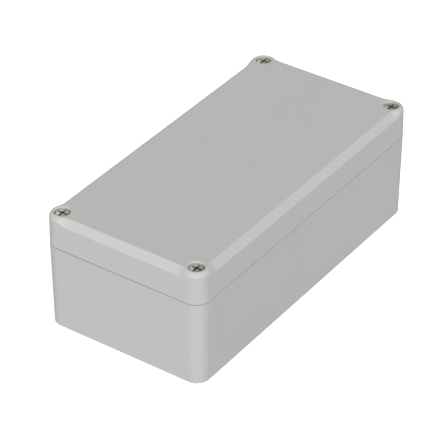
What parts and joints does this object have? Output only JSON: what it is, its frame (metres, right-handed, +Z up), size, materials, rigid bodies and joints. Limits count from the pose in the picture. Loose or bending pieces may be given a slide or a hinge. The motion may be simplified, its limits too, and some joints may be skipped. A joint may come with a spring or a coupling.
{
  "type": "polycarbonate enclosure",
  "caption": "Rectangular moulded enclosure: deep base, bevelled lid with captive corner screws, and a seal in the lid that a tongue of the base presses.",
  "frame": {"origin": "middle of the box's underside", "axes": "+X along the length, +Y across the width, +Z up through the lid"},
  "size_m": [0.16, 0.08, 0.0557],
  "materials": {
    "housing": "light grey injection-moulded polycarbonate, finely eroded, satin",
    "seal": "black closed-cell foamed seal",
    "screw": "cold-headed stainless steel, bright",
    "ring": "stamped spring steel",
    "insert": "turned brass"
  },
  "bodies": {
    "base": {"base": "housing", "lid_insert_1": "insert", "lid_insert_2": "insert", "lid_insert_3": "insert", "lid_insert_4": "insert"},
    "lid": {"lid": "housing", "gasket": "seal"},
    "ring_1": {"retaining_ring_1": "ring"},
    "screw_1": {"lid_screw_1": "screw"},
    "ring_2": {"retaining_ring_2": "ring"},
    "screw_2": {"lid_screw_2": "screw"},
    "ring_3": {"retaining_ring_3": "ring"},
    "screw_3": {"lid_screw_3": "screw"},
    "ring_4": {"retaining_ring_4": "ring"},
    "screw_4": {"lid_screw_4": "screw"}
  },
  "joints": [
    {"name": "lid_lift", "type": "slide", "parent": "base", "child": "lid", "axis": [0, 0, 1], "range_m": [0, 0.06]},
    {"name": "ring_1_rise", "type": "slide", "parent": "lid", "child": "ring_1", "axis": [0, 0, 1], "range_m": [0, 0.005]},
    {"name": "screw_1_turn", "type": "hinge", "parent": "ring_1", "child": "screw_1", "pos_m": [-0.074, -0.034, 0.055], "axis": [0, 0, 1], "range_deg": [0, 2572]},
    {"name": "ring_2_rise", "type": "slide", "parent": "lid", "child": "ring_2", "axis": [0, 0, 1], "range_m": [0, 0.005]},
    {"name": "screw_2_turn", "type": "hinge", "parent": "ring_2", "child": "screw_2", "pos_m": [-0.074, 0.034, 0.055], "axis": [0, 0, 1], "range_deg": [0, 2572]},
    {"name": "ring_3_rise", "type": "slide", "parent": "lid", "child": "ring_3", "axis": [0, 0, 1], "range_m": [0, 0.005]},
    {"name": "screw_3_turn", "type": "hinge", "parent": "ring_3", "child": "screw_3", "pos_m": [0.074, -0.034, 0.055], "axis": [0, 0, 1], "range_deg": [0, 2572]},
    {"name": "ring_4_rise", "type": "slide", "parent": "lid", "child": "ring_4", "axis": [0, 0, 1], "range_m": [0, 0.005]},
    {"name": "screw_4_turn", "type": "hinge", "parent": "ring_4", "child": "screw_4", "pos_m": [0.074, 0.034, 0.055], "axis": [0, 0, 1], "range_deg": [0, 2572]}
  ],
  "couplings": [
    {"joint": "screw_1_turn", "follows": "ring_1_rise", "rad_per_m": 8976},
    {"joint": "screw_2_turn", "follows": "ring_2_rise", "rad_per_m": 8976},
    {"joint": "screw_3_turn", "follows": "ring_3_rise", "rad_per_m": 8976},
    {"joint": "screw_4_turn", "follows": "ring_4_rise", "rad_per_m": 8976}
  ]
}
